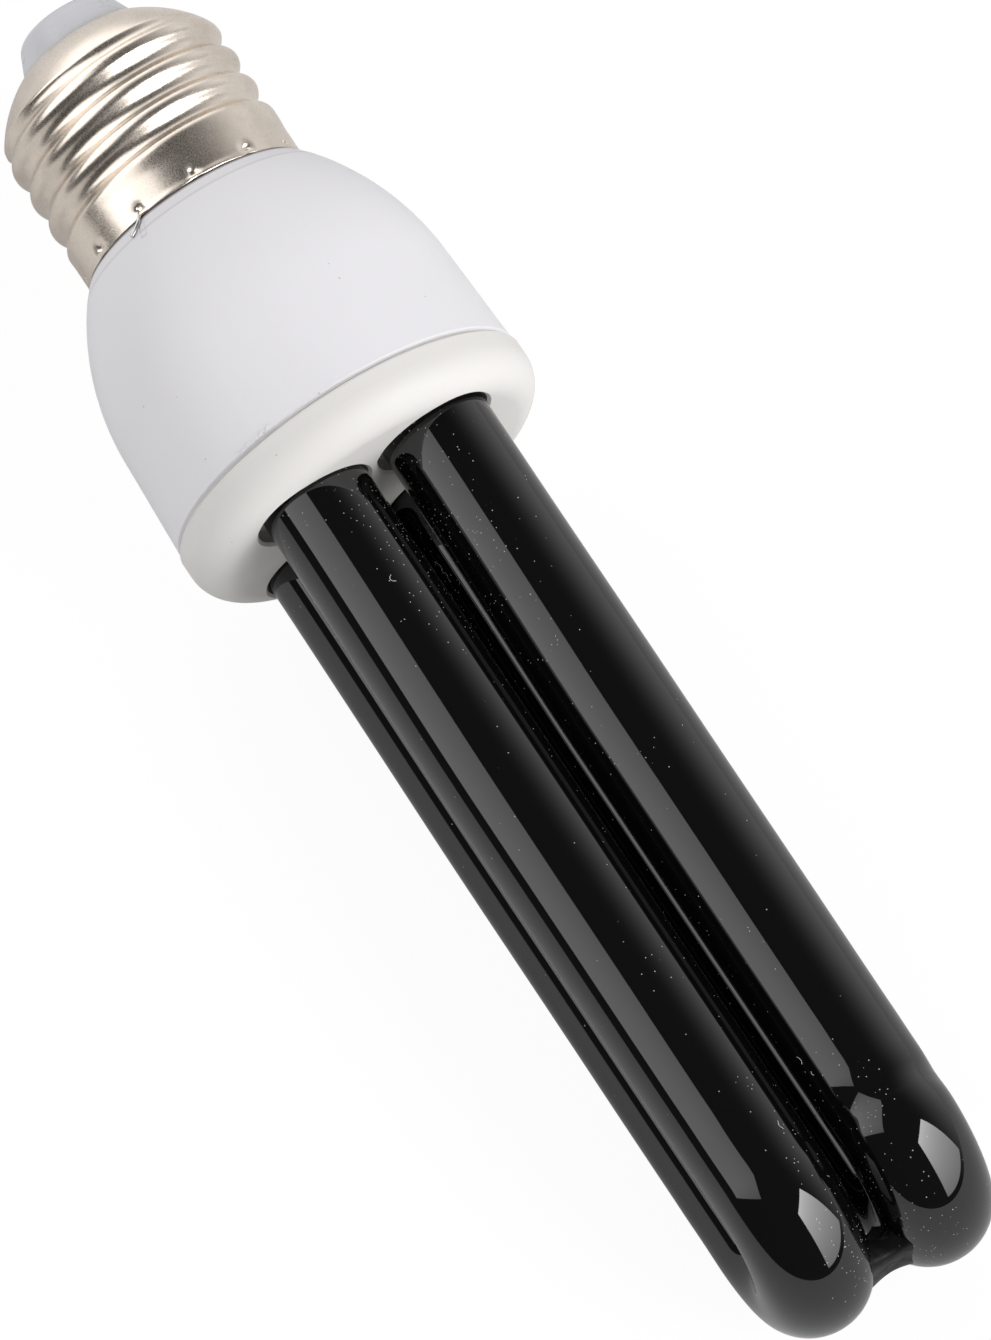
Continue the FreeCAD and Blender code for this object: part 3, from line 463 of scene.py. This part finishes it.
def bent_tube(side):
    """Rings of one U."""
    angle = circle(TUBE_SIDES)
    rings = []
    for y, z, t in tube_spine():
        past_bend = LEG_Y * t if 0 < t < math.pi else z - BEND
        near_bend = math.exp(-((z - BEND + 3) / 6) ** 2)
        settled = smooth(*SETTLING, z)
        ripple = LEG_RIPPLE * math.sin(z * 0.21 + side) + BEND_RIPPLE * near_bend * math.sin(z * 0.9 + side)
        kink = KINK_DEPTH[side] * math.exp(-((past_bend - KINK_PLACE) / KINK_LENGTH) ** 2) * (t < 1)
        section = TUBE_R * (TUBE_SHARE + ripple) - kink * smooth(-0.2, 0.7, np.cos(angle))
        out = np.cos(angle) * section
        aside = side * TUBE_X - FRONT_SHIFT * settled * (1 + math.cos(t)) / 2
        sideways = aside + np.sin(angle) * section * (1 + OVAL * settled)
        rings.append(np.stack([sideways, y + out * math.cos(t), z + out * math.sin(t)], axis=-1))
    return rings


def discharge_tube():
    points, faces = [], []
    for side in (-1, 1):
        rings = bent_tube(side)
        faces += tube_faces(len(rings), TUBE_SIDES, len(points))
        points += [p for ring in rings for p in ring]
    faces += grid_faces(BRIDGE_STEPS, BRIDGE_SIDES, len(points))
    middle = LEG_END + BRIDGE_RISE
    for x in np.linspace(-TUBE_X, TUBE_X, BRIDGE_STEPS):
        for a in circle(BRIDGE_SIDES):
            points.append((x, -LEG_Y + BRIDGE_RADIUS * math.cos(a), middle + BRIDGE_RADIUS * math.sin(a)))
    mesh_piece("glass_tubes", points, faces, "black_glass", "discharge_tube")


# Adhesive bead between the crowns


BEAD_WIDTH, BEAD_DEPTH, BEAD_SETBACK, BEAD_SAG = 7.6, 3.4, 2.2, 3.2
# Share that the bead's middle is drawn in, the power that squares its section, and its hold on the glass
BEAD_WAIST, BEAD_SQUARE, BEAD_HOLD = 0.22, 0.4, 0.08
BEAD_STEPS, BEAD_SIDES = 25, 72


def squared(wave):
    return np.sign(wave) * np.abs(wave) ** BEAD_SQUARE


def adhesive_bead():
    angle = circle(BEAD_SIDES)
    c, w = np.cos(angle), np.sin(angle)
    points = []
    for s in np.linspace(-1, 1, BEAD_STEPS):
        draw = 1 - BEAD_WAIST * (1 - s ** 2)
        y = BEAD_WIDTH / 2 * squared(c) * draw
        z = TIP - BEAD_SETBACK - BEAD_DEPTH / 2 + BEAD_DEPTH / 2 * squared(w) * draw
        z = z - BEAD_SAG * smooth(0, -BEAD_WIDTH / 2, y) * smooth(0.3, -0.6, w)
        ring = np.hypot(y, z - BEND) - LEG_Y
        gap = TUBE_X - np.sqrt(np.maximum(TUBE_R ** 2 - ring ** 2, 0))
        points += list(np.stack([s * (gap + BEAD_HOLD), y, z], axis=-1))
    faces = tube_faces(BEAD_STEPS, BEAD_SIDES)
    mesh_piece("adhesive_bead", points, faces, "silicone", "tip_adhesive")


# Neutral wire: up from the board, over the neck, out under the shell's edge and along the housing


def flow(points, steps=10):
    """A smooth line through the points."""
    p = np.asarray(points, float)
    slope = np.gradient(p, axis=0)
    t = np.linspace(0, 1, steps, endpoint=False)[:, None]
    spans = []
    for k in range(len(p) - 1):
        spans.append(p[k] * (1 + 2 * t) * (1 - t) ** 2 + slope[k] * t * (1 - t) ** 2
                     + p[k + 1] * t * t * (3 - 2 * t) + slope[k + 1] * t * t * (t - 1))
    return np.concatenate(spans + [p[-1:]])


# A direction that no wire starts along
OFF_WIRE = (0.31, 0.57, 0.76)


def wire_mesh(line, radius, around=12, offset=0):
    """Points and faces of a round wire along a line, closed at both ends."""
    ahead = np.gradient(line, axis=0)
    ahead /= np.linalg.norm(ahead, axis=1)[:, None]
    angle = circle(around)[:, None]
    side = np.cross(ahead[0], OFF_WIRE)
    points = []
    for spot, forward in zip(line, ahead):
        side = side - forward * side.dot(forward)
        side /= np.linalg.norm(side)
        points.append(spot + radius * (np.cos(angle) * side + np.sin(angle) * np.cross(forward, side)))
    return np.concatenate(points), tube_faces(len(line), around, offset)


WIRE_AZIMUTH, WIRE_RADIUS, WIRE_INSIDE, WIRE_OVER = 121.0, 0.24, 8.893, 24.49
WIRE_RISE_STEPS, WIRE_RISE_END = 8, WIRE_OVER + 1.4
# Radius and distance along the lamp, on the wire's way over the neck
WIRE_CREST = (
    (WIRE_INSIDE + 0.5, WIRE_OVER + 0.3),
    (WIRE_INSIDE + 1.7, WIRE_OVER),
    (11.6, WIRE_OVER + 0.15),
    (12.25, WIRE_OVER + 1.0),
    (12.5, SHELL_EDGE - 0.9),
)
# Degrees and millimetres of the wire's end past the screw shell's edge, and its height in wire radii
WIRE_TAIL = ((0.5, 0.1), (1.6, 0.5), (3.4, 0.95), (5.6, 1.35))
WIRE_LIFT = 0.9
DOME_RADIUS, DOME_CENTRE_R, DOME_CENTRE_Z = 29.2, -9.32, 45.69


def housing_radius(z):
    """Outer radius of the housing at its band and the start of its dome."""
    if z < BAND:
        return LIP_R + (BAND_R - LIP_R) * (z - SHELL_EDGE) / (BAND - SHELL_EDGE)
    return DOME_CENTRE_R + math.sqrt(DOME_RADIUS ** 2 - (z - DOME_CENTRE_Z) ** 2)


def neutral_wire():
    rise = np.linspace(BOARD, WIRE_RISE_END, WIRE_RISE_STEPS)
    route = [polar(WIRE_INSIDE, WIRE_AZIMUTH, z) for z in rise]
    route += [polar(radius, WIRE_AZIMUTH, z) for radius, z in WIRE_CREST]
    for turn, ahead in WIRE_TAIL:
        z = SHELL_EDGE + ahead
        route.append(polar(housing_radius(z) + WIRE_RADIUS * WIRE_LIFT, WIRE_AZIMUTH + turn, z))
    points, faces = wire_mesh(flow(route), WIRE_RADIUS)
    mesh_piece("neutral_wire", points, faces, "tinned_wire", "neutral_lead")


# Sealing in the wire's slot, rib and flash along the seam, and fibres on the glass


SLOT_HALF, SLOT_END, SLOT_SINK, SLOT_FILL = 0.4, 29.6, 0.04, 0.6
SLOT_LEVELS, SLOT_STEPS = 13, 5


def slot_seal():
    half = math.degrees(SLOT_HALF / BAND_R)
    turns = np.linspace(WIRE_AZIMUTH - half, WIRE_AZIMUTH + half, SLOT_STEPS)
    points = []
    for z in np.linspace(SHELL_EDGE, SLOT_END, SLOT_LEVELS):
        outer = housing_radius(z) - SLOT_SINK
        points += [polar(outer, turn, z) for turn in turns]
        points += [polar(outer - SLOT_FILL, turn, z) for turn in turns[::-1]]
    mesh_piece("wire_slot_seal", points, tube_faces(SLOT_LEVELS, 2 * SLOT_STEPS), "dome_white")


RIB_DEPTH, RIB_SINK, RIB_START, RIB_END, RIB_STEPS = 0.7, 0.2, 0.24, 0.1, 240


def seam_rib():
    """Locating rib at the bottom of the groove between the housing and the tube plate."""
    outer, inner = SEAM_R - RIB_SINK, SEAM_R - RIB_SINK - RIB_DEPTH
    low, high = SEAM - RIB_START, SEAM - RIB_END
    corners = ((inner, low), (outer, low), (outer, high), (inner, high))
    points = []
    for turn in np.linspace(0, 360, RIB_STEPS, endpoint=False):
        points += [polar(r, turn, z) for r, z in corners]
    faces = grid_faces(RIB_STEPS, len(corners), close_rows=True)
    mesh_piece("seam_rib", points, faces, "plate_white", shade=False)


FLASH_COUNT, FLASH_START, FLASH_SPACING, FLASH_SHIFT = 9, 116.2, 1.55, 0.5
# Half width in degrees and rise in millimetres, each with its variation
FLASH_HALF, FLASH_HALF_VARIES = 0.75, 0.45
FLASH_RISE, FLASH_RISE_VARIES = 0.34, 0.16
FLASH_STEPS, FLASH_BACK, FLASH_FRONT = 9, SEAM - 0.5, SEAM - 0.46


def seam_flash():
    """Slivers of flash that the mould left on the housing's rim."""
    points, faces = [], []
    for k in range(FLASH_COUNT):
        middle = FLASH_START + FLASH_SPACING * k + FLASH_SHIFT * math.sin(5.1 * k)
        half = FLASH_HALF + FLASH_HALF_VARIES * math.sin(3.7 * k + 1)
        rise = FLASH_RISE + FLASH_RISE_VARIES * math.sin(2.3 * k + 2)
        faces += tube_faces(FLASH_STEPS, 3, len(points))
        for s in np.linspace(0, 1, FLASH_STEPS):
            turn = middle + half * (2 * s - 1)
            curl = rise * (0.08 + math.sin(math.pi * s) ** 0.7 * (0.75 + 0.25 * math.sin(19 * s + k)))
            points.append(polar(SEAM_R - 0.08, turn, FLASH_BACK))
            points.append(polar(SEAM_R + 0.01, turn, FLASH_FRONT))
            points.append(polar(SEAM_R + 0.02 + 0.3 * curl, turn, FLASH_BACK - curl))
    mesh_piece("seam_flash", points, faces, "dome_white", shade=False)


FIBRE_RADIUS, FIBRE_STEPS, FIBRE_SIDES = 0.025, 6, 6
# Tube side, front or back leg, degrees round the glass, distance along the lamp, and the fibre's own line
FIBRES = (
    (-1, 1, 9, 75.4, ((-0.45, 0.1), (-0.2, -0.2), (0.2, -0.15), (0.4, 0.2))),
    (1, -1, -58, 71.2, ((-1.3, -0.2), (-0.4, 0.3), (0.2, 0.0), (0.6, 0.4), (1.5, 0.1))),
    (1, 1, -59, 140.8, ((-0.5, 0.0), (0.0, 0.12), (0.35, -0.05))),
    (1, 1, -56, 142.6, ((-0.2, 0.1), (0.1, 0.0), (0.3, 0.15))),
    (-1, 1, 30, 146.0, ((-0.5, 0.2), (0.1, 0.0), (0.6, 0.25))),
)


def dust_fibres():
    points, faces = [], []
    out = TUBE_R + FIBRE_RADIUS / 2
    for side, leg, turn, start, line in FIBRES:
        spots = []
        for ahead, round_it in line:
            a = math.radians(turn) + round_it / TUBE_R
            z = start + ahead
            settled = smooth(*SETTLING, z)
            middle = side * TUBE_X - FRONT_SHIFT * settled * (leg > 0)
            x = middle + out * (1 + OVAL * settled) * math.sin(a)
            spots.append((x, leg * LEG_Y + out * math.cos(a), z))
        fibre, sides = wire_mesh(flow(spots, FIBRE_STEPS), FIBRE_RADIUS, FIBRE_SIDES, len(points))
        points += list(fibre)
        faces += sides
    mesh_piece("dust_fibres", points, faces, "sleeve")


screw_shell()
discharge_tube()
adhesive_bead()
neutral_wire()
slot_seal()
seam_rib()
seam_flash()
dust_fibres()


# Floor, light and camera


FLOOR_RADIUS, FLOOR_SIDES = 0.3, 96
FLOOR_DARK, FLOOR_LIGHT = (0.62, 0.62, 0.62), (0.64, 0.64, 0.64)
# The floor's own glow, and its share for the camera, for mirrored rays and for light on matt surfaces
FLOOR_GLOW, FLOOR_SEEN, FLOOR_MIRRORED, FLOOR_BOUNCED = 1.06, 0.88, 0.02, 0.15


def floor():
    rim = [(FLOOR_RADIUS * math.cos(t), FLOOR_RADIUS * math.sin(t), 0) for t in circle(FLOOR_SIDES)]
    faces = [(0, 1 + k, 1 + (k + 1) % FLOOR_SIDES) for k in range(FLOOR_SIDES)]
    mesh = bpy.data.meshes.new("floor")
    mesh.from_pydata([(0, 0, 0)] + rim, [], faces)
    sheet = bpy.data.objects.new("floor", mesh)
    bpy.context.scene.collection.objects.link(sheet)
    n = Finish("floor_white")
    n.set(colour=n.mix(n.noise(3), rgb(*FLOOR_DARK), rgb(*FLOOR_LIGHT)), rough=0.9, specular=0.1)
    rays = n.add("ShaderNodeLightPath").outputs
    mirrored = n.maths("MAXIMUM", rays["Is Glossy Ray"], rays["Is Transmission Ray"])
    bounced = n.maths("MULTIPLY", rays["Is Diffuse Ray"], FLOOR_BOUNCED)
    lit = n.maths("MAXIMUM", n.maths("MULTIPLY", mirrored, FLOOR_MIRRORED), bounced)
    seen = n.maths("MAXIMUM", n.maths("MULTIPLY", rays["Is Camera Ray"], FLOOR_SEEN), lit)
    glow = n.add("ShaderNodeEmission", {"Strength": FLOOR_GLOW}).outputs["Emission"]
    blend = n.add("ShaderNodeMixShader", {"Fac": seen, 1: n.shader.outputs["BSDF"], 2: glow})
    n.put(n.tree.nodes["Material Output"].inputs["Surface"], blend.outputs["Shader"])
    mesh.materials.append(n.material)


# The point along the lamp that the softboxes are set about
LIT_MIDDLE = 100
# Shares of a softbox's width, from its middle, between which it fades to its sides
FADE_START, FADE_END = 0.3, 0.5


def softbox(name, direction, distance, width, height, radiance, low, high, rim=1.0, upright=False):
    """An area light that faces the lamp's middle, or stands upright.

    low and high are its shares of the radiance at its level edges, rim the share at its other two.
    """
    lamp = bpy.data.lights.new(name, "AREA")
    lamp.shape = "RECTANGLE"
    lamp.size, lamp.size_y = width, height
    lamp.energy = radiance * math.pi * width * height
    holder = bpy.data.objects.new(name, lamp)
    bpy.context.scene.collection.objects.link(holder)
    towards = (LAMP.to_3x3() @ Vector(direction)).normalized()
    holder.location = PLACE @ Vector((0, 0, LIT_MIDDLE)) + towards * distance
    facing = Vector((towards.x, towards.y, 0)).normalized() if upright else towards
    holder.rotation_euler = (-facing).to_track_quat("-Z", "Y").to_euler()
    holder.visible_camera = False
    lamp.use_nodes = True
    n = Nodes(lamp.node_tree)
    place = n.add("ShaderNodeNewGeometry").outputs["Position"]
    level = holder.location.z
    rise = height / 2 * math.sqrt(1 - facing.z ** 2)
    upward = n.ramp(n.dot(place, (0, 0, 1)), level - rise, level + rise, low, high)
    sideways = Vector((-facing.y, facing.x, 0)).normalized()
    offset = n.maths("SUBTRACT", n.dot(place, sideways), sideways.dot(holder.location))
    fade = n.ramp(n.maths("ABSOLUTE", offset), width * FADE_START, width * FADE_END, 1.0, rim)
    n.put(n.tree.nodes["Emission"].inputs["Strength"], n.maths("MULTIPLY", upward, fade))


# Pale walls beyond the floor: direction in lamp axes, where the glow starts, its falloff and its level
GLOWS = (
    ((0.95, -0.05, -0.29), 0.2, 3.0, 0.85),
    ((0.10, 0.10, -1.0), 0.58, 2.0, 1.75),
)
# Soft fill on matt surfaces, from beside the tubes
FILL = ((-0.45, 0.1, 0.88), 0.2, 1.5, 1.0)
DIM_STUDIO = 0.06


def world():
    sky = bpy.data.worlds.new("studio")
    bpy.context.scene.world = sky
    sky.use_nodes = True
    n = Nodes(sky.node_tree)
    ray = n.add("ShaderNodeTexCoord").outputs["Generated"]
    path = n.add("ShaderNodeLightPath").outputs
    total = DIM_STUDIO
    for direction, edge, falloff, level in GLOWS + (FILL,):
        axis = (LAMP.to_3x3() @ Vector(direction)).normalized()
        steep = n.maths("POWER", n.ramp(n.dot(ray, axis), edge, 1.0), falloff)
        if direction == FILL[0]:
            level = n.maths("MULTIPLY", path["Is Diffuse Ray"], level)
        total = n.maths("MULTIPLY_ADD", steep, level, total)
    background = n.tree.nodes["Background"].inputs
    n.put(background["Strength"], n.maths("MAXIMUM", path["Is Camera Ray"], total))
    n.put(background["Color"], rgb(1, 1, 1))


# The lamp's roll, its tilt towards the lens and its turn in the picture, in degrees
VIEW_ROLL, VIEW_TILT, VIEW_TURN = -10.79, 17.07, 33.73
# The lens's distance, and where the picture's middle lies from the seam's
VIEW_DISTANCE, SEAM_IN_VIEW = 2300.0, (15.06, 22.47)
SENSOR, LENS, FARTHEST = 24.0, 400.07, 50.0


def camera():
    p, t, g = (math.radians(a) for a in (VIEW_ROLL, VIEW_TILT, VIEW_TURN))
    roll = Matrix(((math.cos(p), -math.sin(p), 0), (math.sin(p), math.cos(p), 0), (0, 0, 1)))
    look = Matrix(((1, 0, 0), (0, 0, 1), (0, -1, 0)))
    tilt = Matrix(((1, 0, 0), (0, math.cos(t), math.sin(t)), (0, -math.sin(t), math.cos(t))))
    u, v, depth = tilt @ look @ roll
    right = math.cos(g) * u + math.sin(g) * v
    down = -math.sin(g) * u + math.cos(g) * v
    middle = Vector((0, 0, SEAM)) + SEAM_IN_VIEW[0] * right + SEAM_IN_VIEW[1] * down
    spot = middle - VIEW_DISTANCE * depth
    turn = LAMP.to_3x3() @ Matrix((right, -down, -depth)).transposed()
    lens = bpy.data.cameras.new("camera")
    lens.sensor_fit = "VERTICAL"
    lens.sensor_height = SENSOR
    lens.lens = LENS
    lens.clip_end = FARTHEST
    eye = bpy.data.objects.new("camera", lens)
    bpy.context.scene.collection.objects.link(eye)
    eye.matrix_world = Matrix.Translation(PLACE @ spot) @ turn.to_4x4()
    bpy.context.scene.camera = eye


floor()
softbox("left_softbox", direction=(-0.586, 0.6, -0.546), distance=1.0, width=1.3, height=0.94,
        radiance=1.72, low=1.2, high=0.82, rim=0.8)
softbox("crown_softbox", direction=(0.558, 0.773, 0.73), distance=1.2, width=0.93, height=1.43,
        radiance=5.5, low=0.42, high=1.55, upright=True)
world()
camera()
bpy.context.scene.view_settings.view_transform = "Standard"
